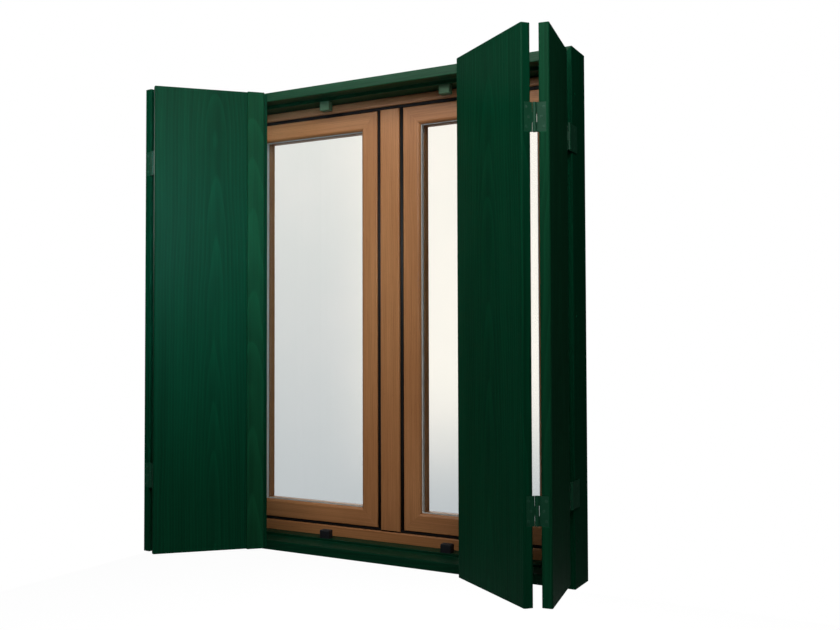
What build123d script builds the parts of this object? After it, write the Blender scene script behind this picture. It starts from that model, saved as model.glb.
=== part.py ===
"""Book-folding panel shutter on its stepped frame, with the two-sash window the frame carries.

Millimetres. X runs to the right as seen from the street, Y runs from the street to the room,
Z is up. The origin is in the middle of the frame's underside. Depths are measured from the
frame's front. The shutters stand half folded open: every folding piece is drawn closed and is
then turned about its own hinge pins.
"""
import os
from build123d import *

os.makedirs("parts", exist_ok=True)

# Shutter frame
frame_width = 1164.0
frame_height = 1400.0
frame_depth = 112.0
fascia_width = 27.5
fascia_depth = 50.0
step_width = 10.0
frame_arris = 2.0
sill_nose_height = 27.5
sill_fall = 6.5
sill_step_height = 7.5
sill_nose_radius = 5.0
drip_groove_width = 6.0
drip_groove_depth = 5.0
drip_groove_setback = 12.0

# Wall fixings through the jambs
fixing_hole_radius = 3.75
fixing_setback = 25.0
fixing_end_distance = 120.0
fixing_count = 3

# Keeper blocks behind the step of the head and of the sill
keeper_offset = 198.0
keeper_width = 32.0
keeper_depth = 25.0
keeper_setback = 2.0
keeper_head_height = 26.5
keeper_sill_height = 24.0
keeper_chamfer = 2.0

# Shutter panels
panel_thickness = 25.0
panel_arris = 4.0
panel_end_margin = 20.0
panel_face_gap = 3.0
outer_panel_width = 250.0
jamb_edge_clearance = 1.0
fold_gap = 3.0
meeting_gap = 4.0
tongue_length = 14.0
tongue_thickness = 12.0
rebate_edge_clearance = 5.0
rebate_face_clearance = 1.0
batten_width = 51.0
batten_thickness = 9.0
batten_arris = 3.0

# Butt hinges, at the jambs and at the folds
hinge_length = 70.0
hinge_end_distance = 222.0
leaf_thickness = 2.5
leaf_width = 17.5
leaf_slot = 0.3
knuckle_count = 3
knuckle_gap = 0.4
pin_radius = 2.5
pin_clearance = 0.3
fold_knuckle_radius = 5.0
fold_axis_proud = 9.5
jamb_knuckle_radius = 4.5
jamb_axis_beside = 3.0
jamb_axis_proud = 3.5
jamb_plate_setback = 35.0

# How far each shutter stands open, in degrees
swing_angle = 98.0
right_fold_angle = 137.2
left_fold_angle = 146.02

# Window frame
window_inset = 12.0
window_member_width = 53.0
window_sill_height = 59.4
window_member_depth = 40.0
nose_depth = 12.0
nose_gap = 6.5
window_arris = 3.0

# Sashes
sash_setback = 3.5
sash_gap = 10.6
sash_bottom_gap = 9.2
sash_face_width = 46.0
sash_round_width = 8.0
glass_setback = 12.5
glass_thickness = 24.0
glass_groove = 12.0
glass_edge_clearance = 3.0
pane_thickness = 4.0
spacer_width = 7.0
bead_round = 8.0
flange_width = 20.7
flange_thickness = 17.0
flange_gap = 3.0
sash_arris = 2.5
meeting_half_gap = 43.6

# Centre post, fixed to the left sash
post_width = 63.0
post_neck_thickness = 30.0
post_rib_gap = 0.9
post_rib_width = 41.0
post_foot_gap = 4.6
post_arris = 4.0

# Sash hinges on the room side
barrel_radius = 7.0
barrel_length = 50.0
barrel_gap = 0.4
barrel_clearance = 0.5
barrel_neck_width = 6.0
barrel_pin_radius = 3.5
barrel_pin_clearance = 0.3
barrel_end_distance = 150.0

# Handle on the room side of the right sash
handle_height = 700.0
rose_width = 28.0
rose_height = 130.0
rose_thickness = 9.0
rose_corner = 10.0
rose_chamfer = 2.0
spindle_radius = 8.0
spindle_clearance = 0.3
lever_stand_off = 12.0
lever_length = 118.0
lever_root_width = 20.0
lever_tip_width = 16.0
lever_thickness = 12.0
lever_chamfer = 2.5

# Places worked out from the sizes above
half_width = frame_width / 2
fixing_spacing = (frame_height - 2 * fixing_end_distance) / (fixing_count - 1)
front_y = -frame_depth / 2
stepped_width = fascia_width + step_width
ledge_height = sill_nose_height + sill_fall + sill_step_height
panel_bottom = panel_end_margin
panel_top = frame_height - panel_end_margin
inner_face = -panel_face_gap
outer_face = inner_face - panel_thickness
panel_edge = half_width - jamb_edge_clearance
fold_edge = panel_edge - outer_panel_width
inner_panel_edge = fold_edge - fold_gap
meeting_edge = meeting_gap / 2
jamb_axis = (panel_edge + jamb_axis_beside, outer_face - jamb_axis_proud)
fold_axis = (fold_edge - fold_gap / 2, inner_face + fold_axis_proud)
hinge_heights = {"upper": panel_top - hinge_end_distance, "lower": panel_bottom + hinge_end_distance}
window_side = half_width - window_inset
window_head = frame_height - window_inset
window_inner_side = window_side - window_member_width
window_inner_top = window_head - window_member_width
window_inner_bottom = window_inset + window_sill_height
window_back = frame_depth + window_member_depth
sash_front = frame_depth - nose_depth + sash_setback
sash_side = window_inner_side - sash_gap
sash_top = window_inner_top - sash_gap
sash_bottom = window_inner_bottom + sash_bottom_gap
sash_flange_face = window_back + flange_gap
sash_back = sash_flange_face + flange_thickness
glass_face = sash_front + glass_setback
sash_lip = sash_face_width + sash_round_width
barrel_axis = (sash_side + flange_width + barrel_clearance + barrel_radius, sash_back - barrel_radius)

sides = {"right": 1, "left": -1}


def at(side, x, depth):
    """A plan point: x from the middle towards one side, depth behind the frame's front."""
    return (side * x, front_y + depth)


def cut_box(x_ends, depth_ends, z_ends):
    """Take a box out of the part in hand, given by its two ends along each axis."""
    with Locations((sum(x_ends) / 2, front_y + sum(depth_ends) / 2, sum(z_ends) / 2)):
        Box(
            abs(x_ends[1] - x_ends[0]),
            abs(depth_ends[1] - depth_ends[0]),
            abs(z_ends[1] - z_ends[0]),
            mode=Mode.SUBTRACT,
        )


def opened(piece, side, fold=0.0):
    """Turn a piece drawn closed: first about the fold pins, then about the jamb pins."""
    fold_line = Axis((*at(side, *fold_axis), 0), (0, 0, 1))
    jamb_line = Axis((*at(side, *jamb_axis), 0), (0, 0, 1))
    return piece.rotate(fold_line, -side * fold).rotate(jamb_line, side * swing_angle)


def save(piece, name):
    """Label a finished piece and write it as one STEP file."""
    piece.label = name
    export_step(piece, f"parts/{name}.step")


# Shutter frame: a fascia in front, a step behind it, mitred where the jambs meet the head
with BuildPart() as frame_head:
    with BuildSketch(Plane.YZ) as head_section:
        with BuildLine():
            Polyline(
                (front_y, frame_height),
                (front_y, frame_height - fascia_width),
                (front_y + fascia_depth, frame_height - fascia_width),
                (front_y + fascia_depth, frame_height - stepped_width),
                (front_y + frame_depth, frame_height - stepped_width),
                (front_y + frame_depth, frame_height),
                close=True,
            )
        make_face()
        fillet(head_section.vertices().group_by(Axis.X)[0], frame_arris)
    extrude(amount=half_width, both=True)
    with BuildSketch(Plane.XZ):
        with BuildLine():
            Polyline(
                (-half_width, frame_height),
                (half_width, frame_height),
                (half_width - stepped_width, frame_height - stepped_width),
                (stepped_width - half_width, frame_height - stepped_width),
                close=True,
            )
        make_face()
    extrude(amount=frame_depth, both=True, mode=Mode.INTERSECT)
save(frame_head.part, "frame_head")

for name, side in sides.items():
    with BuildPart() as frame_jamb:
        with BuildSketch() as jamb_section:
            with BuildLine():
                Polyline(
                    at(side, half_width, 0),
                    at(side, half_width - fascia_width, 0),
                    at(side, half_width - fascia_width, fascia_depth),
                    at(side, half_width - stepped_width, fascia_depth),
                    at(side, half_width - stepped_width, frame_depth),
                    at(side, half_width, frame_depth),
                    close=True,
                )
            make_face()
            fillet(jamb_section.vertices().group_by(Axis.Y)[0], frame_arris)
        extrude(amount=frame_height)
        with BuildSketch(Plane.XZ):
            with BuildLine():
                Polyline(
                    (side * half_width, 0),
                    (side * (half_width - stepped_width), 0),
                    (side * (half_width - stepped_width), frame_height - stepped_width),
                    (side * half_width, frame_height),
                    close=True,
                )
            make_face()
        extrude(amount=frame_depth, both=True, mode=Mode.INTERSECT)
        inner_side = Plane(
            origin=(*at(side, half_width - fascia_width, fixing_setback), frame_height / 2),
            x_dir=(0, 0, 1),
            z_dir=(-side, 0, 0),
        )
        with Locations(inner_side):
            with GridLocations(fixing_spacing, 1, fixing_count, 1):
                Hole(fixing_hole_radius, depth=fascia_width)
    save(frame_jamb.part, f"frame_jamb_{name}")

with BuildPart() as frame_sill:
    with BuildSketch(Plane.YZ) as sill_section:
        with BuildLine():
            Polyline(
                (front_y, 0),
                (front_y, sill_nose_height),
                (front_y + fascia_depth, sill_nose_height + sill_fall),
                (front_y + fascia_depth, ledge_height),
                (front_y + frame_depth, ledge_height),
                (front_y + frame_depth, 0),
                close=True,
            )
        make_face()
        fillet(sill_section.vertices().group_by(Axis.X)[0].sort_by(Axis.Y)[-1], sill_nose_radius)
        fillet(sill_section.vertices().group_by(Axis.Y)[-1].sort_by(Axis.X)[0], frame_arris)
        with Locations((front_y + drip_groove_setback + drip_groove_width / 2, 0)):
            Rectangle(drip_groove_width, 2 * drip_groove_depth, mode=Mode.SUBTRACT)
    extrude(amount=half_width - fascia_width, both=True)
    for side in sides.values():
        shoulder = (side * (half_width - stepped_width), side * half_width)
        cut_box(shoulder, (fascia_depth, frame_depth), (0, ledge_height))
save(frame_sill.part, "frame_sill")

# Keeper blocks: two stand on the ledge of the sill and two hang from the soffit of the head
for name, side in sides.items():
    for member in ("head", "sill"):
        hangs = member == "head"
        height = keeper_head_height if hangs else keeper_sill_height
        base = frame_height - stepped_width - height if hangs else ledge_height
        with BuildPart() as keeper:
            with BuildSketch(Plane.XY.offset(base)):
                with Locations(at(side, keeper_offset, fascia_depth + keeper_setback + keeper_depth / 2)):
                    Rectangle(keeper_width, keeper_depth)
            extrude(amount=height)
            free_end = keeper.faces().sort_by(Axis.Z)[0 if hangs else -1]
            chamfer(free_end.edges() + keeper.edges().filter_by(Axis.Z), keeper_chamfer)
        save(keeper.part, f"keeper_{member}_{name}")


# Butt hinges
def hinge_leaves(side, axis, radius, faces, reach, turns):
    """The upper and the lower leaf on one axis, drawn closed: plates, fingers and knuckles.

    A leaf that turns is bored and has the odd knuckles. The leaf that holds it has the even
    ones, with the pin pressed into them. faces holds the plate's two faces across X from the
    pin's axis, and reach is where the plate ends in depth from it, negative towards the street.
    """
    pitch = hinge_length / knuckle_count
    start = (radius + leaf_slot) * (1 if reach > 0 else -1)
    middle = axis[0] + sum(faces) / 2
    with BuildPart() as leaves:
        for height in hinge_heights.values():
            foot = height - hinge_length / 2
            with BuildSketch(Plane.XY.offset(foot)):
                with Locations(at(side, middle, axis[1] + (start + reach) / 2)):
                    Rectangle(leaf_thickness, abs(reach - start))
            extrude(amount=hinge_length)
            for index in range(1 if turns else 0, knuckle_count, 2):
                with BuildSketch(Plane.XY.offset(foot + index * pitch + knuckle_gap / 2)):
                    with Locations(at(side, *axis)):
                        Circle(radius)
                    with Locations(at(side, middle, axis[1] + start / 2)):
                        Rectangle(leaf_thickness, abs(start))
                    if turns:
                        with Locations(at(side, *axis)):
                            Circle(pin_radius + pin_clearance, mode=Mode.SUBTRACT)
                extrude(amount=pitch - knuckle_gap)
            if not turns:
                with BuildSketch(Plane.XY.offset(foot + pitch / 2)):
                    with Locations(at(side, *axis)):
                        Circle(pin_radius)
                extrude(amount=hinge_length - pitch)
    return leaves.part


fold_reach = -(fold_axis_proud + leaf_width)
jamb_reach = jamb_axis_proud + leaf_width
plate_reach = jamb_plate_setback - jamb_axis[1]
fold_outer_faces = (fold_gap / 2, fold_gap / 2 + leaf_thickness)
fold_inner_faces = (-fold_gap / 2, -fold_gap / 2 - leaf_thickness)
jamb_leaf_faces = (-jamb_axis_beside, -jamb_axis_beside - leaf_thickness)
plate_faces = (half_width - jamb_axis[0] + leaf_thickness, half_width - jamb_axis[0])

for name, side in sides.items():
    fold_angle = right_fold_angle if side > 0 else left_fold_angle
    plates = hinge_leaves(side, jamb_axis, jamb_knuckle_radius, plate_faces, plate_reach, turns=False)
    save(plates, f"jamb_hinge_plates_{name}")
    leaves = hinge_leaves(side, jamb_axis, jamb_knuckle_radius, jamb_leaf_faces, jamb_reach, turns=True)
    save(opened(leaves, side), f"jamb_hinge_leaves_{name}")
    leaves = hinge_leaves(side, fold_axis, fold_knuckle_radius, fold_outer_faces, fold_reach, turns=False)
    save(opened(leaves, side), f"fold_hinge_outer_leaves_{name}")
    leaves = hinge_leaves(side, fold_axis, fold_knuckle_radius, fold_inner_faces, fold_reach, turns=True)
    save(opened(leaves, side, fold_angle), f"fold_hinge_inner_leaves_{name}")


# Shutter panels
def board(side, inner, outer):
    """A plain board between two edges across X, with its four long arrises rounded."""
    with BuildPart() as plain:
        with BuildSketch(Plane.XY.offset(panel_bottom)):
            with Locations(at(side, (inner + outer) / 2, (outer_face + inner_face) / 2)):
                RectangleRounded(outer - inner, panel_thickness, panel_arris)
        extrude(amount=panel_top - panel_bottom)
    return plain.part


def cut_mortises(side, axis, faces, reach):
    """Pockets in the edge of the panel in hand, in which its two hinge leaves lie flush."""
    for height in hinge_heights.values():
        cut_box(
            (side * (axis[0] + faces[0]), side * (axis[0] + faces[1])),
            (axis[1], axis[1] + reach),
            (height - hinge_length / 2, height + hinge_length / 2),
        )


tongue_end = tongue_length - meeting_edge
tongue_front = inner_face - tongue_thickness
lip_back = tongue_front - rebate_face_clearance
for name, side in sides.items():
    with BuildPart() as outer_panel:
        add(board(side, fold_edge, panel_edge))
        cut_mortises(side, fold_axis, fold_outer_faces, fold_reach)
        cut_mortises(side, jamb_axis, jamb_leaf_faces, jamb_reach)
    save(opened(outer_panel.part, side), f"outer_panel_{name}")

# The right inner panel has the front lip, which closes last over the left one's rear tongue
with BuildPart() as inner_panel_right:
    add(board(1, meeting_edge, inner_panel_edge))
    cut_mortises(1, fold_axis, fold_inner_faces, fold_reach)
    cut_box((0, tongue_end + rebate_edge_clearance), (lip_back, panel_arris), (0, frame_height))
save(opened(inner_panel_right.part, 1, right_fold_angle), "inner_panel_right")

with BuildPart() as inner_panel_left:
    add(board(-1, -tongue_end, inner_panel_edge))
    cut_mortises(-1, fold_axis, fold_inner_faces, fold_reach)
    cut_box((-meeting_edge, frame_width), (outer_face - panel_arris, tongue_front), (0, frame_height))
save(opened(inner_panel_left.part, -1, left_fold_angle), "inner_panel_left")

# Cover batten on the outer face of the left inner panel, along its meeting edge
with BuildPart() as meeting_batten:
    with BuildSketch(Plane.XY.offset(panel_bottom)) as batten_plan:
        with Locations(at(-1, meeting_edge + batten_width / 2, outer_face - batten_thickness / 2)):
            Rectangle(batten_width, batten_thickness)
        fillet(batten_plan.vertices().group_by(Axis.Y)[0], batten_arris)
    extrude(amount=panel_top - panel_bottom)
save(opened(meeting_batten.part, -1, left_fold_angle), "meeting_batten")


# Window frame and sashes: mitred members. In each section local X is the depth behind the
# frame's front and local Y runs from the member's outer edge inward.
def window_section(width, nose_start):
    """Flange against the back of the shutter frame, with a nose that reaches forward."""
    with BuildSketch() as section:
        with BuildLine():
            Polyline(
                (frame_depth, 0),
                (frame_depth, nose_start),
                (frame_depth - nose_depth, nose_start),
                (frame_depth - nose_depth, width),
                (window_back, width),
                (window_back, 0),
                close=True,
            )
        make_face()
        fillet(section.vertices().group_by(Axis.X)[0].sort_by(Axis.Y)[-1], window_arris)
    return section.sketch


def sash_section():
    """Flat face, round towards the glass, glazing groove, bead and the room side's flange."""
    lip = flange_width + sash_lip
    pane_back = glass_face + glass_thickness
    face_end = flange_width + sash_face_width
    turn = 0.7071
    with BuildSketch() as section:
        with BuildLine():
            Polyline(
                (sash_front, face_end),
                (sash_front, flange_width),
                (sash_flange_face, flange_width),
                (sash_flange_face, 0),
                (sash_back, 0),
                (sash_back, lip - bead_round),
            )
            ThreePointArc(
                (sash_back, lip - bead_round),
                (sash_back - bead_round * (1 - turn), lip - bead_round * (1 - turn)),
                (sash_back - bead_round, lip),
            )
            Polyline(
                (sash_back - bead_round, lip),
                (pane_back, lip),
                (pane_back, lip - glass_groove),
                (glass_face, lip - glass_groove),
                (glass_face, lip),
            )
            ThreePointArc(
                (glass_face, lip),
                (glass_face - glass_setback * turn, face_end + sash_round_width * turn),
                (sash_front, face_end),
            )
        make_face()
        fillet(section.vertices().group_by(Axis.X)[0].sort_by(Axis.Y)[0], sash_arris)
    return section.sketch


def mitred_members(prefix, outer, inner, section, sill_section):
    """Save the head, sill and two stiles of a frame, each kept inside its own trapezoid.

    outer and inner are (left, right, bottom, top) of the frame's outside and of its opening.
    """
    left, right, bottom, top = outer
    in_left, in_right, in_bottom, in_top = inner
    planes = {
        "head": Plane(origin=(right, front_y, top), x_dir=(0, 1, 0), z_dir=(-1, 0, 0)),
        "sill": Plane(origin=(left, front_y, bottom), x_dir=(0, 1, 0), z_dir=(1, 0, 0)),
        "left": Plane(origin=(left, front_y, top), x_dir=(0, 1, 0), z_dir=(0, 0, -1)),
        "right": Plane(origin=(right, front_y, bottom), x_dir=(0, 1, 0), z_dir=(0, 0, 1)),
    }
    outlines = {
        "head": [(left, top), (right, top), (in_right, in_top), (in_left, in_top)],
        "sill": [(left, bottom), (right, bottom), (in_right, in_bottom), (in_left, in_bottom)],
        "left": [(left, bottom), (left, top), (in_left, in_top), (in_left, in_bottom)],
        "right": [(right, bottom), (right, top), (in_right, in_top), (in_right, in_bottom)],
    }
    for member, plane in planes.items():
        with BuildPart() as piece:
            with BuildSketch(plane):
                add(sill_section if member == "sill" else section)
            extrude(amount=right - left if member in ("head", "sill") else top - bottom)
            with BuildSketch(Plane.XZ):
                with BuildLine():
                    Polyline(*outlines[member], close=True)
                make_face()
            extrude(amount=frame_width, both=True, mode=Mode.INTERSECT)
        save(piece.part, f"{prefix}_{member}")


mitred_members(
    "window_frame",
    (-window_side, window_side, window_inset, window_head),
    (-window_inner_side, window_inner_side, window_inner_bottom, window_inner_top),
    window_section(window_member_width, stepped_width + nose_gap - window_inset),
    window_section(window_sill_height, ledge_height - window_inset),
)

for name, side in sides.items():
    across = sorted((side * (meeting_half_gap - flange_width), side * (sash_side + flange_width)))
    lights = sorted((side * (meeting_half_gap + sash_lip), side * (sash_side - sash_lip)))
    mitred_members(
        f"sash_{name}",
        (*across, sash_bottom - flange_width, sash_top + flange_width),
        (*lights, sash_bottom + sash_lip, sash_top - sash_lip),
        sash_section(),
        sash_section(),
    )
    bite = glass_groove - glass_edge_clearance
    unit_width = lights[1] - lights[0] + 2 * bite
    unit_height = sash_top - sash_bottom - 2 * (sash_lip - bite)
    unit_middle = (sum(lights) / 2, (sash_bottom + sash_top) / 2)
    with BuildPart() as glass:
        for setback in (glass_face, glass_face + glass_thickness - pane_thickness):
            with BuildSketch(Plane.XZ.offset(-front_y - setback)):
                with Locations(unit_middle):
                    Rectangle(unit_width, unit_height)
            extrude(amount=-pane_thickness)
    save(glass.part, f"glass_{name}")
    with BuildPart() as spacer:
        with BuildSketch(Plane.XZ.offset(-front_y - glass_face - pane_thickness)):
            with Locations(unit_middle):
                Rectangle(unit_width, unit_height)
                Rectangle(unit_width - 2 * spacer_width, unit_height - 2 * spacer_width, mode=Mode.SUBTRACT)
        extrude(amount=2 * pane_thickness - glass_thickness)
    save(spacer.part, f"glass_spacer_{name}")

# Centre post: a block between the sashes, a neck to the left sash and a rib between the flanges
post_bottom = window_inner_bottom + post_foot_gap
flange_edge = meeting_half_gap - flange_width
rib_left = -flange_edge + post_rib_gap
with BuildPart() as window_post:
    with BuildSketch(Plane.XY.offset(post_bottom)) as post_plan:
        with BuildLine():
            Polyline(
                at(1, -post_width / 2, frame_depth - nose_depth),
                at(1, post_width / 2, frame_depth - nose_depth),
                at(1, post_width / 2, window_back),
                at(1, rib_left + post_rib_width, window_back),
                at(1, rib_left + post_rib_width, sash_back),
                at(1, rib_left, sash_back),
                at(1, rib_left, sash_flange_face),
                at(1, -meeting_half_gap, sash_flange_face),
                at(1, -meeting_half_gap, sash_flange_face - post_neck_thickness),
                at(1, -post_width / 2, sash_flange_face - post_neck_thickness),
                close=True,
            )
        make_face()
        fillet(post_plan.vertices().group_by(Axis.Y)[0], post_arris)
    extrude(amount=sash_top - post_bottom)
save(window_post.part, "window_post")

# Sash hinges: barrels on the room side, the lower half on the frame and the upper on the sash
barrel_heights = (sash_bottom + barrel_end_distance, sash_top - barrel_end_distance)
with BuildPart() as frame_barrels:
    for side in sides.values():
        for height in barrel_heights:
            with BuildSketch(Plane.XY.offset(height - barrel_length / 2)):
                with Locations(at(side, *barrel_axis)):
                    Circle(barrel_radius)
                with Locations(at(side, barrel_axis[0], (window_back + barrel_axis[1]) / 2)):
                    Rectangle(barrel_neck_width, barrel_axis[1] - window_back)
            extrude(amount=(barrel_length - barrel_gap) / 2)
            with BuildSketch(Plane.XY.offset(height - barrel_length / 2)):
                with Locations(at(side, *barrel_axis)):
                    Circle(barrel_pin_radius)
            extrude(amount=barrel_length)
save(frame_barrels.part, "sash_hinge_frame_halves")

for name, side in sides.items():
    neck_reach = barrel_clearance + barrel_radius
    with BuildPart() as sash_barrels:
        for height in barrel_heights:
            with BuildSketch(Plane.XY.offset(height + barrel_gap / 2)):
                with Locations(at(side, *barrel_axis)):
                    Circle(barrel_radius)
                with Locations(at(side, barrel_axis[0] - neck_reach / 2, barrel_axis[1])):
                    Rectangle(neck_reach, barrel_neck_width)
                with Locations(at(side, *barrel_axis)):
                    Circle(barrel_pin_radius + barrel_pin_clearance, mode=Mode.SUBTRACT)
            extrude(amount=(barrel_length - barrel_gap) / 2)
    save(sash_barrels.part, f"sash_hinge_halves_{name}")

# Handle: a rose on the meeting stile and a lever whose hub turns in it
handle_x = meeting_half_gap + (sash_lip - bead_round - flange_width) / 2
room_face = Plane(origin=(handle_x, front_y + sash_back, handle_height), x_dir=(-1, 0, 0), z_dir=(0, 1, 0))
with BuildPart() as handle_rose:
    with BuildSketch(room_face):
        RectangleRounded(rose_width, rose_height, rose_corner)
    extrude(amount=rose_thickness)
    chamfer(handle_rose.faces().sort_by(Axis.Y)[-1].edges(), rose_chamfer)
    with BuildSketch(room_face):
        Circle(spindle_radius + spindle_clearance)
    extrude(amount=rose_thickness, mode=Mode.SUBTRACT)
save(handle_rose.part, "handle_rose")

lever_face = room_face.offset(rose_thickness + lever_stand_off)
with BuildPart() as handle_lever:
    with BuildSketch(lever_face):
        with BuildLine():
            Polyline(
                (-lever_root_width / 2, lever_root_width / 2),
                (lever_root_width / 2, lever_root_width / 2),
                (lever_tip_width / 2, -lever_length),
                (-lever_tip_width / 2, -lever_length),
                close=True,
            )
        make_face()
    extrude(amount=lever_thickness)
    chamfer(handle_lever.edges(), lever_chamfer)
    with BuildSketch(room_face.offset(spindle_clearance)):
        Circle(spindle_radius)
    extrude(amount=rose_thickness + lever_stand_off + lever_thickness / 2)
save(handle_lever.part, "handle_lever")
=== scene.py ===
"""Looks of the book-folding panel shutter: green lacquered boards and frame, a stained timber
window with its glass and seals, painted hinges with their screws, the light and the camera.
Metres throughout."""
import math

import bmesh
import bpy
import numpy as np
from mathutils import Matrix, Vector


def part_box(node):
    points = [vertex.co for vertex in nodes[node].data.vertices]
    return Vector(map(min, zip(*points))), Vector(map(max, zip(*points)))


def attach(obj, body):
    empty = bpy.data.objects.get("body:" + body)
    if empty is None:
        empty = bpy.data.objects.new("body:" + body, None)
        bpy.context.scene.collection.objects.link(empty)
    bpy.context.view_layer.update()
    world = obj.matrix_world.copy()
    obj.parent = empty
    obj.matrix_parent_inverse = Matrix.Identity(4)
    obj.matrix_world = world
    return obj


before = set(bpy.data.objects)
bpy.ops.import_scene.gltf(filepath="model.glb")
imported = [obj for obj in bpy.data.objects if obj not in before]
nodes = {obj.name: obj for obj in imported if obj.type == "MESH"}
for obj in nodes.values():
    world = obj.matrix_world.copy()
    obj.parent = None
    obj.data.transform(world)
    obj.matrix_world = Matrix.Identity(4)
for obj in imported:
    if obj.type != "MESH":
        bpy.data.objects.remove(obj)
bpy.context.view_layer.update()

# The hinge lines in plan with the shutters closed, and how far each shutter stands open
JAMB_LINE = np.array([0.584, -0.0875])
FOLD_LINE = np.array([0.3295, -0.0495])
SWING = 98.0
FOLD = {"right": 137.2, "left": 146.02}
SIDE = {"right": 1.0, "left": -1.0}

# Screws: the middles of the hinges, the step from screw to screw up a leaf and the zigzag across
# it, and each kind of leaf's row, as its distance along X and along Y from its hinge line
HINGE_HEIGHTS = (0.242, 1.158)
SCREW_STEP = 0.0233
SCREW_STAGGER = 0.003
PLATE_ROW = (0.0005, 0.049)
JAMB_LEAF_ROW = (-0.003, 0.01225)
FOLD_OUTER_ROW = (0.0015, -0.01825)
FOLD_INNER_ROW = (-0.0015, -0.01825)

# A screw's head: its radius, the rise of its dome, how high its rim and its underside lie, and the
# cross cut in it
HEAD_RADIUS = 0.0034
HEAD_DOME = 0.00035
HEAD_PROUD = 0.0001
HEAD_FOOT = -0.0012
CUT_HALF_WIDTH = 0.0004
CUT_REACH = 0.0022
CUT_DEPTH = 0.0008

# Glazing seals: how far inside the pane's edge they begin, and their radius
GLAZING_INSET = 0.009
GLAZING_RADIUS = 0.0028

# Weather seals: their face and depth along Y. The rebate they lie in and the sashes they meet, as
# half width, foot and top. The gap on each side of the centre post along X
SEAL_FACE = 0.05
SEAL_DEPTH = 0.007
REBATE = (0.5172, 0.0712, 1.3352)
SASHES = (0.507, 0.08, 1.325)
POST_GAPS = {"left": (-0.0312, -0.0433), "right": (0.0312, 0.0415)}
POST_SEAL_CLEARANCE = 0.0005

# The green lacquer, a warmer redder one and its shine, and the brown stain, full and pale. The
# warmer one is painted sheen on the frame head and the right outer panel, and the pale stain is
# painted light on the window head
LACQUER = (0.001, 0.052, 0.0215)
WARM_LACQUER = (0.006, 0.069, 0.0273)
LACQUER_GLOSS = 0.06
STAIN = (0.55, 0.238, 0.09)
PAINTED_LIGHT_STAIN = (0.68, 0.32, 0.15)

# The backdrop that the glass shows, its colour low, high and on its warm side, and where these
# lie as the X or Z of the view's direction
BACKDROP_LOW = (0.61, 0.64, 0.67, 1.0)
BACKDROP_HIGH = (1.02, 1.0, 0.95, 1.0)
BACKDROP_WARM = (1.19, 1.12, 1.03, 1.0)
FADE_HEIGHTS = (-0.2, 0.26)
WARM_SIDE = (-0.522, -0.42)
WARM_HEIGHTS = (-0.17, -0.02)

# What a mirror finds: a pale patch behind the window, given by its middle's direction and by the
# cosines at which it starts and is full, and a dim studio around it. Then the world's own light
PATCH_MIDDLE = (-0.643, 0.766, 0.0)
PATCH_EDGE = (0.93, 0.99)
MIRROR_PALE = (0.85, 0.85, 0.85, 1.0)
MIRROR_DIM = (0.006, 0.006, 0.006, 1.0)
WORLD_LIGHT = (0.03, 0.03, 0.03, 1.0)
WHITE = (1.0, 1.0, 1.0, 1.0)

# The floor: its half width and its level below the window, which hangs as high as in a wall. Its
# glow where it is seen, and the share of that glow where it is seen and where it is mirrored
FLOOR_HALF = 3.5
FLOOR_LEVEL = -0.9
FLOOR_GLOW = 1.14
FLOOR_SEEN = 0.85
FLOOR_MIRRORED = 0.02

# The photograph's width and height, focal length and optical middle in pixels, the camera's sensor
# in millimetres, where it stands, and how it is turned, in degrees
PHOTO_WIDTH, PHOTO_HEIGHT = 840.0, 630.0
FOCAL_LENGTH = 997.5
OPTICAL_MIDDLE = (317.1, 310.9)
SENSOR_WIDTH = 36.0
CAMERA_PLACE = (1.3582, -2.5866, 0.6362)
CAMERA_TILT, CAMERA_YAW = 91.69, 31.47

NUMBER, VECTOR = "NodeSocketFloat", "NodeSocketVector"


def opaque(colour, factor=1.0):
    """A colour made darker or lighter, with full alpha."""
    return (*(np.array(colour) * factor), 1.0)


# Node trees
def socket(tree, value, target):
    """Puts a number, a colour or another node's output on an input."""
    if isinstance(value, bpy.types.NodeSocket):
        tree.links.new(value, target)
    else:
        target.default_value = value


def node(tree, kind, place, inputs=(), **settings):
    """Adds a node, sets its options and fills its inputs, which are given by name or number."""
    made = tree.nodes.new(kind)
    made.location = place
    for name, value in settings.items():
        setattr(made, name, value)
    for name, value in dict(inputs).items():
        socket(tree, value, made.inputs[name])
    return made


def sums(tree, place, operation, first, second=0.0, third=0.0):
    """One Math node's result."""
    inputs = {0: first, 1: second, 2: third}
    return node(tree, "ShaderNodeMath", place, inputs, operation=operation).outputs[0]


def vectors(tree, place, operation, first, second, result="Vector"):
    """One Vector Math node's result."""
    inputs = {0: first, 1: second}
    return node(tree, "ShaderNodeVectorMath", place, inputs, operation=operation).outputs[result]


def spread(tree, place, value, low, high, curve="SMOOTHSTEP"):
    """Maps a value's range onto 0 to 1."""
    inputs = {"Value": value, "From Min": low, "From Max": high}
    made = node(tree, "ShaderNodeMapRange", place, inputs, interpolation_type=curve)
    return made.outputs["Result"]


def mixed(tree, place, factor, first, second):
    """One colour laid over another."""
    made = node(tree, "ShaderNodeMix", place, data_type="RGBA")
    for slot, value in ((0, factor), (6, first), (7, second)):
        socket(tree, value, made.inputs[slot])
    return made.outputs[2]


def noise(tree, place, vector, scale, detail, roughness=0.5):
    """One Noise Texture's value."""
    inputs = {"Vector": vector, "Scale": scale, "Detail": detail, "Roughness": roughness}
    return node(tree, "ShaderNodeTexNoise", place, inputs).outputs["Fac"]


def layered(tree, tone, layers):
    """Colours laid over a first one. Each layer is a mask, the share of it that counts, and a
    colour."""
    for step, (mask, share, colour) in enumerate(layers):
        x = 180 * step - 300
        factor = sums(tree, (x - 180, 60), "MULTIPLY", mask, share)
        tone = mixed(tree, (x, 200), factor, tone, colour)
    return tone


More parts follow.
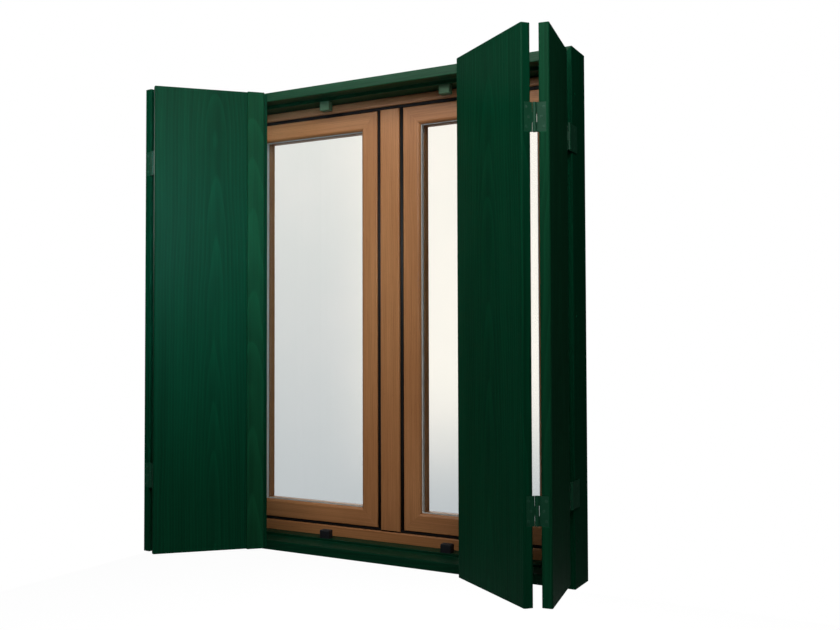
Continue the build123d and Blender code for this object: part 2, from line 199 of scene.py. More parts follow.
def straight_through(tree, place, rays):
    """1 for a ray that came through the glass without being mirrored on its way."""
    direct = sums(tree, place, "LESS_THAN", rays["Glossy Depth"], 0.5)
    beside = (place[0] + 100, place[1] - 80)
    return sums(tree, beside, "MULTIPLY", rays["Is Transmission Ray"], direct)


def object_point(tree):
    """The object's own coordinates."""
    return node(tree, "ShaderNodeTexCoord", (-1500, 0)).outputs["Object"]


def group(name, inputs, outputs):
    """A new shader node group, its input and its output node."""
    tree = bpy.data.node_groups.new(name, "ShaderNodeTree")
    for way, sockets in (("INPUT", inputs), ("OUTPUT", outputs)):
        for label, kind in sockets.items():
            tree.interface.new_socket(name=label, in_out=way, socket_type=kind)
    return tree, node(tree, "NodeGroupInput", (-1400, 0)), node(tree, "NodeGroupOutput", (900, 0))


def use_group(tree, place, shared, inputs):
    """Places a shared group in a material."""
    return node(tree, "ShaderNodeGroup", place, inputs, node_tree=shared).outputs


def board_grain():
    """Flat-sawn timber. In board coordinates, across, through and along, the distance from a pith
    line that sinks along the board is cut into year rings, which makes the arches; noise drawn out
    along the board makes broad streaks, fine fibres and the open pores."""
    tree, given, result = group(
        "board grain",
        {"Board": VECTOR, "Ring width": NUMBER, "Pith depth": NUMBER, "Taper": NUMBER},
        dict.fromkeys(("Rings", "Streaks", "Fibres", "Pores", "Cloud"), NUMBER),
    )
    given = given.outputs

    def stretched(row, across, along, detail, roughness=0.5):
        """Noise whose grain is finer across the board than along it."""
        scale = (across, across, along)
        drawn = vectors(tree, (-1200, row), "MULTIPLY", given["Board"], scale)
        return noise(tree, (-1020, row), drawn, 1.0, detail, roughness)

    # The distance from the pith, bent by two slow noises
    parts = node(tree, "ShaderNodeSeparateXYZ", (-1200, 0), {0: given["Board"]}).outputs
    bend = stretched(260, 9.0, 1.6, 2.0)
    across = sums(tree, (-820, 120), "MULTIPLY_ADD", bend, 0.045, parts[0])
    sunk = sums(tree, (-820, 460), "MULTIPLY_ADD", parts[2], given["Taper"], given["Pith depth"])
    deep = sums(tree, (-640, 300), "ADD", parts[1], sunk)
    deep = sums(tree, (-480, 300), "MULTIPLY_ADD", stretched(460, 3.0, 2.5, 1.0), 0.03, deep)
    squares = [
        sums(tree, (-320, row), "POWER", value, 2.0) for row, value in ((120, across), (300, deep))
    ]
    radius = sums(tree, (-160, 200), "SQRT", sums(tree, (-240, 200), "ADD", *squares))

    # Each ring darkens slowly and ends short
    count = sums(tree, (-80, 300), "DIVIDE", radius, given["Ring width"])
    turn = sums(tree, (0, 200), "FRACT", count)
    darkening = sums(tree, (160, 260), "POWER", turn, 2.2)
    end = spread(tree, (160, 100), turn, 1.0, 0.9)
    rings = sums(tree, (320, 200), "MULTIPLY", darkening, end)
    tree.links.new(rings, result.inputs["Rings"])

    for row, label, across, along, low, high in (
        (-220, "Streaks", 95.0, 1.6, 0.36, 0.64),
        (-420, "Fibres", 420.0, 9.0, 0.3, 0.7),
        (-620, "Pores", 1300.0, 60.0, 0.6, 0.72),
        (-820, "Cloud", 9.0, 2.2, 0.3, 0.7),
    ):
        drawn = stretched(row, across, along, 3.0, 0.6)
        tree.links.new(spread(tree, (-800, row), drawn, low, high), result.inputs[label])
    return tree


def arris_wear_and_highlight():
    """Where a surface turns over an edge, its rounded normal leaves its true one: that angle is the
    strip along the arrises.
    Lightened, that strip is a painted highlight; broken up by noise, it is the rubbed strip."""
    tree, given, result = group(
        "arris wear and highlight",
        {"Point": VECTOR, "Width": NUMBER},
        {"Edge": NUMBER, "Scuffs": NUMBER, "Rounded": VECTOR},
    )
    radius = {"Radius": given.outputs["Width"]}
    rounded = node(tree, "ShaderNodeBevel", (-1200, 100), radius, samples=4).outputs[0]
    true = node(tree, "ShaderNodeNewGeometry", (-1200, -80)).outputs["Normal"]
    angle = vectors(tree, (-1000, 60), "DOT_PRODUCT", rounded, true, "Value")
    edge = spread(tree, (-800, 60), angle, 0.99, 0.86)
    rub = noise(tree, (-1200, -320), given.outputs["Point"], 38.0, 5.0, 0.7)
    scuffs = spread(tree, (-1000, -320), rub, 0.42, 0.7)
    rubbed = sums(tree, (-400, -100), "MULTIPLY", edge, scuffs)
    for label, value in (("Rounded", rounded), ("Edge", edge), ("Scuffs", rubbed)):
        tree.links.new(value, result.inputs[label])
    return tree


def settled_dust():
    """Fine dust lies on what faces up, thicker where a slow noise is high."""
    tree, given, result = group(
        "settled dust", {"Point": VECTOR, "Amount": NUMBER}, {"Dust": NUMBER}
    )
    normal = node(tree, "ShaderNodeNewGeometry", (-1400, 160)).outputs["Normal"]
    up = node(tree, "ShaderNodeSeparateXYZ", (-1200, 100), {0: normal}).outputs[2]
    flat = spread(tree, (-1000, 100), up, 0.55, 1.0)
    patches = noise(tree, (-1200, -200), given.outputs["Point"], 26.0, 4.0)
    thick = spread(tree, (-1000, -200), patches, 0.35, 0.75)
    lying = sums(tree, (-800, 0), "MULTIPLY", flat, thick)
    dust = sums(tree, (-600, 0), "MULTIPLY", lying, given.outputs["Amount"])
    tree.links.new(dust, result.inputs["Dust"])
    return tree


GRAIN, WEAR_AND_HIGHLIGHT, DUST = board_grain(), arris_wear_and_highlight(), settled_dust()


# Materials
def finish_of(name, **values):
    """A new material with one Principled shader whose constant values are set on its own
    sockets."""
    material = bpy.data.materials.new(name)
    material.use_nodes = True
    tree = material.node_tree
    shader = tree.nodes["Principled BSDF"]
    for label, value in values.items():
        shader.inputs[label.replace("_", " ")].default_value = value
    return material, tree, shader


def bumped(tree, shader, height, distance, strength, **normal):
    """Raises a surface by a height, over its own normal or a given one."""
    inputs = {"Height": height, "Distance": distance, "Strength": strength, **normal}
    bump = node(tree, "ShaderNodeBump", (60, -300), inputs)
    tree.links.new(bump.outputs[0], shader.inputs["Normal"])


def board_coordinates(tree, point, centre, turn, lying, shift):
    """Object coordinates turned into a board's own: across, through and along it. turn is the
    board's angle in plan, and lying boards run along X."""
    moved = vectors(tree, (-1320, 0), "SUBTRACT", point, centre)
    angles = (0.0, math.radians(90.0), 0.0) if lying else (0.0, 0.0, -turn)
    inputs = {"Vector": moved, "Rotation": angles}
    drawn = node(tree, "ShaderNodeMapping", (-1140, 0), inputs).outputs[0]
    return vectors(tree, (-960, 0), "ADD", drawn, shift)


def grained(tree, board, ring_width, pith_depth, taper):
    """The grain of one board."""
    inputs = {
        "Board": board,
        "Ring width": ring_width,
        "Pith depth": pith_depth,
        "Taper": taper,
    }
    return use_group(tree, (-720, 100), GRAIN, inputs)


def worn_and_highlit(tree, point, width):
    """The rubbing of one surface and its arris strip for painted highlights, on a strip of this
    width along its edges.
    """
    return use_group(tree, (-720, -200), WEAR_AND_HIGHLIGHT, {"Point": point, "Width": width})


def dusty(tree, point, amount):
    """The dust on one surface."""
    return use_group(tree, (-720, -420), DUST, {"Point": point, "Amount": amount})["Dust"]


def timber_relief(tree, grain, rings, pores):
    """The height of a board's surface: its fibres stand up and its rings and pores lie low."""
    height = sums(tree, (-480, -300), "MULTIPLY", grain["Fibres"], 0.25)
    height = sums(tree, (-300, -300), "MULTIPLY_ADD", grain["Rings"], -rings, height)
    return sums(tree, (-120, -300), "MULTIPLY_ADD", grain["Pores"], -pores, height)


def lacquered_timber(
    name,
    centre,
    shift,
    turn=0.0,
    lying=False,
    ring_width=0.009,
    warmth=0.0,
    gloss=LACQUER_GLOSS,
    depth=1.0,
):
    """Green lacquer over timber: the grain stands through it as faint arches, in tone and relief.
    shift picks the board's place in the log, warmth goes from the green lacquer to the warmer one,
    and depth darkens or lightens it; on the frame head and sill and the right outer panel these are
    painted light, sheen and shade."""
    material, tree, shader = finish_of(name, Specular_IOR_Level=gloss)
    point = object_point(tree)
    board = board_coordinates(tree, point, centre, turn, lying, shift)
    grain = grained(tree, board, ring_width, 0.035, 0.045)
    wear_and_highlight, dust = worn_and_highlit(tree, point, 0.0035), dusty(tree, point, 0.02)
    cool, warm = np.array(LACQUER), np.array(WARM_LACQUER)
    base = (cool + (warm - cool) * warmth) * depth
    clouded = mixed(tree, (-480, 200), grain["Cloud"], opaque(base, 0.9), opaque(base, 1.1))
    layers = (
        (grain["Streaks"], 0.6, opaque(base, 0.62)),
        (grain["Rings"], 0.45, opaque(base, 1.75)),
        (grain["Fibres"], 0.25, opaque(base, 0.7)),
        # Painted highlight: the arris strip lightened 2.4 times stands for light caught on the
        # rounded edges, and for lacquer rubbed thin there
        (wear_and_highlight["Edge"], 0.5, opaque(base, 2.4)),
        (dust, 1.0, (0.16, 0.2, 0.15, 1.0)),
    )
    tree.links.new(layered(tree, clouded, layers), shader.inputs["Base Color"])
    rough = sums(tree, (-300, -120), "MULTIPLY_ADD", grain["Fibres"], 0.1, 0.4)
    rough = sums(tree, (-120, -120), "MULTIPLY_ADD", dust, 0.5, rough)
    tree.links.new(rough, shader.inputs["Roughness"])
    height = timber_relief(tree, grain, rings=0.5, pores=0.3)
    bumped(tree, shader, height, 0.0006, 0.35, Normal=wear_and_highlight["Rounded"])
    return material


def stained_timber(name, centre, lying, shift, stain):
    """Mid-brown stained softwood under satin varnish: straight grain, darker in the latewood and
    in the pores."""
    material, tree, shader = finish_of(name, Specular_IOR_Level=0.45)
    point = object_point(tree)
    board = board_coordinates(tree, point, centre, 0.0, lying, shift)
    grain = grained(tree, board, 0.0055, 0.0, 0.006)
    wear_and_highlight = worn_and_highlit(tree, point, 0.002)

    def shade(factor, fade):
        """The stain made darker or lighter. A fade under 1 takes out green, and more blue."""
        return opaque(stain, np.array([factor, factor * fade, factor * fade * fade]))

    clouded = mixed(tree, (-480, 200), grain["Cloud"], shade(0.9, 0.97), shade(1.1, 1.04))
    layers = (
        (grain["Streaks"], 0.5, shade(0.68, 0.88)),
        (grain["Rings"], 0.4, shade(0.6, 0.85)),
        (grain["Fibres"], 0.3, shade(1.22, 1.06)),
        (grain["Pores"], 0.4, shade(0.3, 0.8)),
        (wear_and_highlight["Edge"], 0.3, shade(1.4, 1.1)),
    )
    tree.links.new(layered(tree, clouded, layers), shader.inputs["Base Color"])
    rough = sums(tree, (-300, -120), "MULTIPLY_ADD", grain["Fibres"], 0.12, 0.3)
    rough = sums(tree, (-120, -120), "MULTIPLY_ADD", grain["Pores"], 0.15, rough)
    tree.links.new(rough, shader.inputs["Roughness"])
    height = timber_relief(tree, grain, rings=0.3, pores=0.5)
    bumped(tree, shader, height, 0.0004, 0.3, Normal=wear_and_highlight["Rounded"])
    return material


def painted_metal(name, colour, bare, roughness, metallic):
    """Paint on metal, rubbed along its edges, with the slight orange peel of a sprayed coat. bare
    is the colour of the rubbed metal."""
    material, tree, shader = finish_of(name, Specular_IOR_Level=0.3)
    point = object_point(tree)
    wear_and_highlight, dust = worn_and_highlit(tree, point, 0.0012), dusty(tree, point, 0.1)
    mottle = noise(tree, (-720, 200), point, 60.0, 4.0)
    mottled = mixed(tree, (-480, 200), mottle, opaque(colour, 0.82), opaque(colour, 1.18))
    layers = ((wear_and_highlight["Scuffs"], 0.55, opaque(bare)), (dust, 1.0, (0.25, 0.26, 0.22, 1.0)))
    tree.links.new(layered(tree, mottled, layers), shader.inputs["Base Color"])
    shine = sums(tree, (-300, -60), "MULTIPLY", wear_and_highlight["Scuffs"], metallic)
    tree.links.new(shine, shader.inputs["Metallic"])
    rough = sums(tree, (-300, -200), "MULTIPLY_ADD", mottle, 0.14, roughness - 0.07)
    tree.links.new(rough, shader.inputs["Roughness"])
    bumped(tree, shader, noise(tree, (-720, -620), point, 900.0, 2.0), 0.0002, 0.25)
    return material


def moulded_plastic(name, colour, edge):
    """Matt moulded plastic with a fine spark-eroded texture, paler on its rubbed corners."""
    material, tree, shader = finish_of(name, Specular_IOR_Level=0.35)
    point = object_point(tree)
    wear_and_highlight, dust = worn_and_highlit(tree, point, 0.0015), dusty(tree, point, 0.15)
    mottle = noise(tree, (-720, 200), point, 45.0, 5.0)
    mottled = mixed(tree, (-480, 200), mottle, opaque(colour, 0.85), opaque(colour, 1.15))
    layers = ((wear_and_highlight["Edge"], 0.35, opaque(edge)), (dust, 1.0, (0.25, 0.26, 0.24, 1.0)))
    tree.links.new(layered(tree, mottled, layers), shader.inputs["Base Color"])
    rough = sums(tree, (-300, -200), "MULTIPLY_ADD", mottle, 0.16, 0.5)
    tree.links.new(rough, shader.inputs["Roughness"])
    bumped(tree, shader, noise(tree, (-720, -620), point, 1400.0, 2.0), 0.0002, 0.3)
    return material


def window_glass():
    """Clear float glass with a slight film of dust. Light from the lamps and from other surfaces
    goes straight through."""
    material, tree, shader = finish_of(
        "float glass", IOR=1.45, Transmission_Weight=1.0, Roughness=0.0
    )
    film = noise(tree, (-900, 0), object_point(tree), 3.0, 5.0, 0.6)
    film = spread(tree, (-700, 0), film, 0.3, 0.8)
    tint = mixed(tree, (-500, 0), film, (0.955, 0.97, 0.965, 1.0), (0.98, 0.985, 0.98, 1.0))
    tree.links.new(tint, shader.inputs["Base Color"])
    clear = node(tree, "ShaderNodeBsdfTransparent", (200, -200), {"Color": (0.93, 0.95, 0.94, 1.0)})
    rays = node(tree, "ShaderNodeLightPath", (0, 300)).outputs
    either = sums(tree, (200, 300), "MAXIMUM", rays["Is Shadow Ray"], rays["Is Diffuse Ray"])
    both = {0: either, 1: shader.outputs[0], 2: clear.outputs[0]}
    blended = node(tree, "ShaderNodeMixShader", (400, 100), both)
    tree.links.new(blended.outputs[0], tree.nodes["Material Output"].inputs["Surface"])
    return material


def rolled_aluminium_and_glint():
    """Mill aluminium with the fine lines of rolling along it. It is pale and barely metallic, which
    also makes it a painted glint along the pane's edge.
    """
    material, tree, shader = finish_of("rolled aluminium and glint", Metallic=0.1)
    drawn = vectors(tree, (-900, 0), "MULTIPLY", object_point(tree), (900.0, 900.0, 60.0))
    lines = noise(tree, (-700, 0), drawn, 1.0, 3.0)
    # Painted glint: the pale tone is the aluminium's own, and also stands for light caught along
    # the pane's edge
    tone = mixed(tree, (-400, 100), lines, (0.8, 0.81, 0.82, 1.0), (0.9, 0.91, 0.92, 1.0))
    tree.links.new(tone, shader.inputs["Base Color"])
    rough = sums(tree, (-400, -100), "MULTIPLY_ADD", lines, 0.2, 0.25)
    tree.links.new(rough, shader.inputs["Roughness"])
    return material


def give(name, material):
    """Lays one material over the whole of a CAD node."""
    mesh = nodes[name].data
    mesh.materials.clear()
    mesh.materials.append(material)


def middle(name):
    """A CAD node's middle at rest."""
    low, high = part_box(name)
    return tuple((a + b) / 2 for a, b in zip(low, high))


# The shutters, turned in plan as they stand open, each with its own piece of the log
shutter_turn = {}
for side, sign in SIDE.items():
    shutter_turn[f"outer_panel_{side}"] = math.radians(sign * SWING)
    shutter_turn[f"inner_panel_{side}"] = math.radians(sign * (SWING - FOLD[side]))
shutter_turn["meeting_batten"] = shutter_turn["inner_panel_left"]
# The batten takes a warmer tone. On the right outer panel the warmer lacquer is painted sheen, for
# the light on its front edge
warm_tone_and_painted_sheen = {"meeting_batten": 0.8, "outer_panel_right": 0.5}
for index, (name, turn) in enumerate(sorted(shutter_turn.items())):
    shift = (0.012 * (index % 3) - 0.035, 0.004 * index, 0.37 * index)
    warmth = warm_tone_and_painted_sheen.get(name, 0.0)
    lacquer = lacquered_timber(f"lacquer_{name}", middle(name), shift, turn, warmth=warmth)
    give(name, lacquer)

# The frame, in finer grained timber
# Painted light and shade: the head is lighter and warmer for the light and sheen on its fascia,
# which faces the lamps, and the sill is darker for the shade low down
frame_finish_and_painted_light = {
    "frame_head": {"warmth": 1.0, "gloss": 0.27, "depth": 1.05},
    "frame_sill": {"gloss": 0.1, "depth": 0.7},
}
for index, name in enumerate(n for n in sorted(nodes) if n.startswith("frame_")):
    lying, shift = name.endswith(("_head", "_sill")), (0.15, 0.02, 2.3 * index)
    finish_and_painted_light = frame_finish_and_painted_light.get(name, {"gloss": 0.03})
    lacquer = lacquered_timber(
        f"lacquer_{name}", middle(name), shift, lying=lying, ring_width=0.006, **finish_and_painted_light
    )
    give(name, lacquer)

# The window. Its head is painted paler, as painted light
timbers = (n for n in sorted(nodes) if n.startswith(("window_", "sash_left_", "sash_right_")))
for index, name in enumerate(timbers):
    lying = name.endswith(("_head", "_sill"))
    shift = (0.17 + 0.015 * (index % 4), 0.05, 1.9 * index)
    # Painted light: the paler stain brightens the head where the green frame head shades it
    stain = PAINTED_LIGHT_STAIN if name == "window_frame_head" else STAIN
    give(name, stained_timber(f"stain_{name}", middle(name), lying, shift, stain))

# Fittings, keepers and glass
for prefixes, material in (
    (
        ("jamb_hinge", "fold_hinge"),
        painted_metal("hinge paint", (0.008, 0.072, 0.034), (0.06, 0.12, 0.08), 0.4, 0.4),
    ),
    (
        ("sash_hinge", "handle"),
        painted_metal("bronze paint", (0.2, 0.11, 0.06), (0.42, 0.3, 0.2), 0.34, 0.6),
    ),
    ("keeper_head", moulded_plastic("keeper green", (0.09, 0.19, 0.105), (0.14, 0.27, 0.16))),
    ("keeper_sill", moulded_plastic("keeper black", (0.012, 0.013, 0.017), (0.05, 0.052, 0.06))),
    (("glass_left", "glass_right"), window_glass()),
    ("glass_spacer", rolled_aluminium_and_glint()),
):
    for name in nodes:
        if name.startswith(prefixes):
            give(name, material)

# Materials of the new pieces
screw_paint = painted_metal("screw paint", (0.02, 0.1, 0.055), (0.3, 0.33, 0.3), 0.3, 0.7)
# Painted glint: the bead's pale grey also stands for the light caught along the panes' edges
sealant_and_glint = moulded_plastic("sealant_and_glint", (0.6, 0.6, 0.57), (0.7, 0.7, 0.67))
rubber = moulded_plastic("black rubber", (0.006, 0.0062, 0.007), (0.012, 0.012, 0.013))


def new_piece(name, points, faces, material, body):
    """A new piece that rides on a body: doubled points merged, so that poles close, and every face
    turned outwards."""
    mesh = bpy.data.meshes.new(name)
    mesh.from_pydata(points.reshape(-1, 3).tolist(), [], faces)
    shell = bmesh.new()
    shell.from_mesh(mesh)
    bmesh.ops.remove_doubles(shell, verts=shell.verts, dist=1e-6)
    bmesh.ops.recalc_face_normals(shell, faces=shell.faces)
    shell.to_mesh(mesh)
    shell.free()
    mesh.polygons.foreach_set("use_smooth", np.ones(len(mesh.polygons), bool))
    mesh.materials.append(material)
    made = bpy.data.objects.new(name, mesh)
    bpy.context.scene.collection.objects.link(made)
    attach(made, body)


# Screws
def screw_heads(name, places, facing, body):
    """Flush screw heads. Each is a disc on a grid of rings and angles: its height is a shallow
    dome, less a cross cut whose depth falls off smoothly away from the two slot lines, and it
    closes on a flat underside. places are the heads' middles and facing the unit directions they
    look in."""
    rings, around = 10, 32
    r = np.linspace(0.0, 1.0, rings)[:, None] * HEAD_RADIUS
    a = np.linspace(0.0, 2 * np.pi, around, endpoint=False)[None, :]
    u, v = r * np.cos(a), r * np.sin(a)
    lines = np.maximum(np.exp(-(u / CUT_HALF_WIDTH) ** 4), np.exp(-(v / CUT_HALF_WIDTH) ** 4))
    cut = CUT_DEPTH * lines * (r < CUT_REACH)
    height = HEAD_DOME * (1 - (r / HEAD_RADIUS) ** 2) - cut + HEAD_PROUD
    top = np.stack([u, v, height], -1).reshape(-1, 3)
    foot = np.stack([u[-1], v[-1], np.full(around, HEAD_FOOT)], -1)
    points = np.vstack([top, foot])

    # The top's rings, the wall down to the foot, and the foot's chords
    i, j = np.meshgrid(np.arange(rings - 1), np.arange(around), indexing="ij")
    k = (j + 1) % around
    corners = [i * around + j, (i + 1) * around + j, (i + 1) * around + k, i * around + k]
    disc = np.stack(corners, -1).reshape(-1, 4)
    rim, low, j = (rings - 1) * around, rings * around, np.arange(around)
    k = (j + 1) % around
    wall = np.stack([rim + j, low + j, low + k, rim + k], -1)
    j = j[: around // 2 - 1]
    underside = low + np.stack([j, j + 1, around - 2 - j, around - 1 - j], -1)
    quads = np.vstack([disc, wall, underside])

    # One head at each place
    upright = np.tile([0.0, 0.0, 1.0], (len(places), 1))
    axes = np.stack([np.cross(upright, facing), upright, facing], 1)
    world = np.einsum("pk,nkc->npc", points, axes) + places[:, None, :]
    faces = quads[None] + (np.arange(len(places)) * len(points))[:, None, None]
    new_piece(name, world, faces.reshape(-1, 4).tolist(), screw_paint, body)


def turned(points, line, degrees):
    """Plan points turned about a hinge line."""
    a = math.radians(degrees)
    matrix = np.array([[math.cos(a), -math.sin(a)], [math.sin(a), math.cos(a)]])
    return (points - line) @ matrix.T + line


def leaf_screws(side, line, row, facing, fold=0.0, swing=SWING):
    """Three screws up each of a line's two leaves, drawn closed and then turned with the leaf:
    their places and the unit directions they look in. facing is that direction along X."""
    sign = SIDE[side]
    mirror = np.array([sign, 1.0])
    heights = [h + step for h in HINGE_HEIGHTS for step in (-SCREW_STEP, 0.0, SCREW_STEP)]
    stagger = np.tile([-SCREW_STAGGER, SCREW_STAGGER, -SCREW_STAGGER], len(HINGE_HEIGHTS))
    across = np.full(len(heights), line[0] + row[0])
    plan = np.stack([across, line[1] + row[1] + stagger], -1) * mirror
    tip = plan + np.array([facing * sign, 0.0])
    for points in (plan, tip):
        points[:] = turned(points, FOLD_LINE * mirror, -sign * fold)
        points[:] = turned(points, JAMB_LINE * mirror, sign * swing)
    level = np.zeros(len(heights))
    return np.column_stack([plan, heights]), np.column_stack([tip - plan, level])


for side in SIDE:
    places, facing = leaf_screws(side, JAMB_LINE, PLATE_ROW, 1.0, swing=0.0)
    screw_heads(f"plate_screws_{side}", places, facing, "frame")
    first = leaf_screws(side, JAMB_LINE, JAMB_LEAF_ROW, 1.0)
    second = leaf_screws(side, FOLD_LINE, FOLD_OUTER_ROW, -1.0)
    places, facing = (np.vstack(pair) for pair in zip(first, second))
    screw_heads(f"outer_panel_screws_{side}", places, facing, f"{side}_outer_panel")
    places, facing = leaf_screws(side, FOLD_LINE, FOLD_INNER_ROW, 1.0, FOLD[side])
    screw_heads(f"inner_panel_screws_{side}", places, facing, f"{side}_inner_panel")


# Glazing seals
def glazing_seal(name, glass, body):
    """A pale bead of sealing compound where a pane meets its sash; its pale grey is also a painted
    glint along the pane's edge.
    The profile is a quarter round as a function of its angle, run round the pane's four edges with
    mitred corners, so that it is a grid of profile points by corners; its two flat backs lie on the
    pane and on the timber and close it."""
    low, high = (np.array(list(corner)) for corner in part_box(glass))
    angle = np.linspace(0.0, np.pi / 2, 7)
    inward = np.append(GLAZING_RADIUS * np.cos(angle), 0.0)[:, None]
    proud = np.append(GLAZING_RADIUS * np.sin(angle), 0.0)[:, None]
    corners = np.array([[-1.0, -1.0], [1.0, -1.0], [1.0, 1.0], [-1.0, 1.0]])
    centre = (low + high)[[0, 2]] / 2
    half = (high - low)[[0, 2]] / 2 - GLAZING_INSET
    across = centre[0] + corners[None, :, 0] * (half[0] - inward)
    upright = centre[1] + corners[None, :, 1] * (half[1] - inward)
    points = np.stack([across, low[1] - proud + 0 * across, upright], -1)
    i, j = np.meshgrid(np.arange(len(inward)), np.arange(4), indexing="ij")
    k, n = (i + 1) % len(inward), (j + 1) % 4
    faces = np.stack([i * 4 + j, i * 4 + n, k * 4 + n, k * 4 + j], -1).reshape(-1, 4)
    new_piece(name, points, faces.tolist(), sealant_and_glint, body)


glazing_seal("glazing_seal_left", "glass_left", "frame")
glazing_seal("glazing_seal_right", "glass_right", "right_sash")


# Weather seals
def rubber_seal(name, outer, inner, closed):
    """Black rubber in the gap between a sash and what it shuts against. At angle t its profile
    lies (1 - cos t) / 2 of the way from the outer line to the inner one, and sin t, raised to a
    power that squares it off, forward or back. It runs along the lines' corners, back to the first
    where it is closed, and has a flat end at each where it isn't."""
    outer, inner = np.array(outer)[None], np.array(inner)[None]
    around, count = 16, outer.shape[1]
    t = np.linspace(0.0, 2 * np.pi, around, endpoint=False)[:, None]
    line = outer + (inner - outer) * ((1 - np.cos(t)) / 2)[..., None]
    forward = np.sign(np.sin(t)) * np.abs(np.sin(t)) ** 0.6
    depth = SEAL_FACE + SEAL_DEPTH / 2 * (1 - forward)
    points = np.stack([line[..., 0], depth + 0 * line[..., 0], line[..., 1]], -1)
    spans = count if closed else count - 1
    i, j = np.meshgrid(np.arange(around), np.arange(spans), indexing="ij")
    k, n = (i + 1) % around, (j + 1) % count
    corners = [i * count + j, i * count + n, k * count + n, k * count + j]
    faces = np.stack(corners, -1).reshape(-1, 4).tolist()
    if not closed:
        rim = np.arange(around) * count
        faces += [rim.tolist(), (rim + count - 1)[::-1].tolist()]
    new_piece(name, points, faces, rubber, "frame")


def outline(half, foot, top):
    """The four corners of an opening."""
    return [(-half, foot), (half, foot), (half, top), (-half, top)]


rubber_seal("weather_seal_frame", outline(*REBATE), outline(*SASHES), True)
seal_foot, seal_top = SASHES[1] + POST_SEAL_CLEARANCE, SASHES[2] - POST_SEAL_CLEARANCE
for side, gap in POST_GAPS.items():
    start, end = ([(x, seal_foot), (x, seal_top)] for x in gap)
    rubber_seal(f"post_seal_{side}", start, end, False)


# Floor: plain and pale. White where it is seen, less white where it is mirrored, and it keeps
# part of the object's shadow
corners = [(-1.0, -1.0), (1.0, -1.0), (1.0, 1.0), (-1.0, 1.0)]
mesh = bpy.data.meshes.new("floor")
mesh.from_pydata(
    [(x * FLOOR_HALF, y * FLOOR_HALF, FLOOR_LEVEL) for x, y in corners], [], [(0, 1, 2, 3)]
)
floor = bpy.data.objects.new("floor", mesh)
bpy.context.scene.collection.objects.link(floor)
pale, tree, shader = finish_of("pale floor", Roughness=0.9, Base_Color=(0.82, 0.82, 0.82, 1.0))
rays = node(tree, "ShaderNodeLightPath", (-900, 300)).outputs
straight = straight_through(tree, (-700, 300), rays)
mirrored = sums(tree, (-400, 120), "MULTIPLY", rays["Is Glossy Ray"], FLOOR_MIRRORED)
seen = sums(tree, (-500, 300), "MAXIMUM", rays["Is Camera Ray"], straight)
seen = sums(tree, (-400, 300), "MULTIPLY", seen, FLOOR_SEEN)
seen = sums(tree, (-200, 300), "MAXIMUM", seen, mirrored)
shade = mixed(tree, (-200, -200), straight, WHITE, BACKDROP_LOW)
glow = {"Color": shade, "Strength": FLOOR_GLOW}
glowing = node(tree, "ShaderNodeEmission", (0, -200), glow).outputs[0]
both = {0: seen, 1: shader.outputs[0], 2: glowing}
blended = node(tree, "ShaderNodeMixShader", (300, 0), both)
tree.links.new(blended.outputs[0], tree.nodes["Material Output"].inputs["Surface"])
floor.data.materials.append(pale)

# World: white to the camera. Through the glass it is a pale backdrop that fades downwards, a
# mirror finds a pale patch behind the window and a dim studio around it, and as light it is dim
world = bpy.data.worlds.new("studio")
bpy.context.scene.world = world
world.use_nodes = True
tree = world.node_tree
tree.nodes.clear()
rays = node(tree, "ShaderNodeLightPath", (-600, 500)).outputs
way = node(tree, "ShaderNodeTexCoord", (-1200, 0)).outputs["Generated"]
parts = node(tree, "ShaderNodeSeparateXYZ", (-1000, 0), {0: way}).outputs
height = spread(tree, (-800, 0), parts[2], *FADE_HEIGHTS, curve="LINEAR")
through = mixed(tree, (-600, 0), height, BACKDROP_LOW, BACKDROP_HIGH)
beside = spread(tree, (-800, -200), parts[0], *WARM_SIDE)
above = spread(tree, (-800, -340), parts[2], *WARM_HEIGHTS)
warm = sums(tree, (-600, -260), "MULTIPLY", beside, above)
through = mixed(tree, (-400, 0), warm, through, BACKDROP_WARM)
facing = vectors(tree, (-1000, -500), "DOT_PRODUCT", way, PATCH_MIDDLE, "Value")
patch = spread(tree, (-800, -500), facing, *PATCH_EDGE)
mirror = mixed(tree, (-600, -500), patch, MIRROR_DIM, MIRROR_PALE)
colour = mixed(tree, (-200, 0), rays["Is Glossy Ray"], WORLD_LIGHT, mirror)
colour = mixed(tree, (0, 0), straight_through(tree, (-300, 300), rays), colour, through)
colour = mixed(tree, (200, 0), rays["Is Camera Ray"], colour, WHITE)
shine = node(tree, "ShaderNodeBackground", (400, 0), {"Color": colour, "Strength": 1.0})
node(tree, "ShaderNodeOutputWorld", (600, 0), {"Surface": shine.outputs[0]})


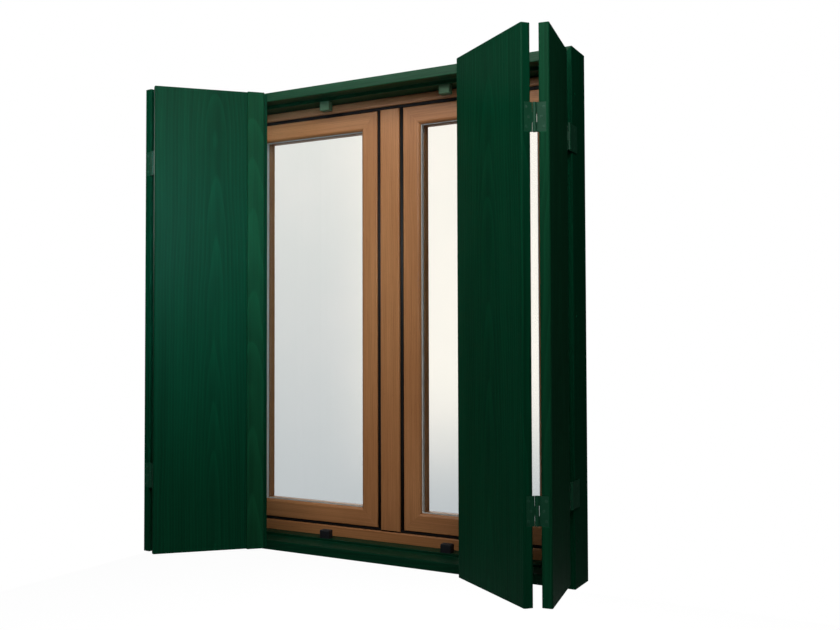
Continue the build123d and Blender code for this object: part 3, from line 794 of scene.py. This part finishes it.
# Lamps
def soft_light(name, place, target, size, watts, fan=180.0, colour=(1.0, 1.0, 1.0)):
    """A square area light that faces a point. fan is the angle its light is kept to."""
    data = bpy.data.lights.new(name, "AREA")
    data.size, data.energy, data.color, data.spread = size, watts, colour, math.radians(fan)
    made = bpy.data.objects.new(name, data)
    bpy.context.scene.collection.objects.link(made)
    away = np.array(place) - np.array(target)
    flat = math.hypot(away[0], away[1])
    made.location = place
    made.rotation_euler = (math.atan2(flat, away[2]), 0.0, math.atan2(away[0], -away[1]))
    made.visible_camera = made.visible_transmission = False


for lamp in (
    ("key light", (0.2, -1.4, 2.1), (0.1, 0.0, 0.9), 0.9, 8.4),
    ("right light", (1.3, -1.5, 2.3), (0.0, -0.1, 0.9), 0.9, 11.0),
    ("lower right light", (1.2, -1.5, 1.7), (0.0, -0.1, 0.9), 0.9, 5.2),
    ("left light", (-0.7, -1.5, 2.15), (0.2, -0.1, 0.9), 0.9, 8.0),
    ("cool light", (0.5, -1.5, 1.15), (-0.45, -0.35, 0.95), 0.4, 1.0, 50.0, (0.6, 1.0, 1.3)),
    ("side light", (-2.4, 0.3, 1.4), (-0.6, -0.1, 0.8), 0.8, 8.0),
    ("room light", (-0.95, 2.8, 2.0), (0.0, 0.0, 0.7), 2.0, 45.0),
):
    soft_light(*lamp)

# Camera at the photograph's angle
lens = bpy.data.cameras.new("camera")
lens.sensor_width = SENSOR_WIDTH
lens.lens = FOCAL_LENGTH / PHOTO_WIDTH * SENSOR_WIDTH
lens.shift_x = (PHOTO_WIDTH / 2 - OPTICAL_MIDDLE[0]) / PHOTO_WIDTH
lens.shift_y = (OPTICAL_MIDDLE[1] - PHOTO_HEIGHT / 2) / PHOTO_WIDTH
camera = bpy.data.objects.new("camera", lens)
bpy.context.scene.collection.objects.link(camera)
camera.location = CAMERA_PLACE
camera.rotation_euler = (math.radians(CAMERA_TILT), 0.0, math.radians(CAMERA_YAW))
bpy.context.scene.camera = camera
bpy.context.scene.view_settings.view_transform = "Standard"
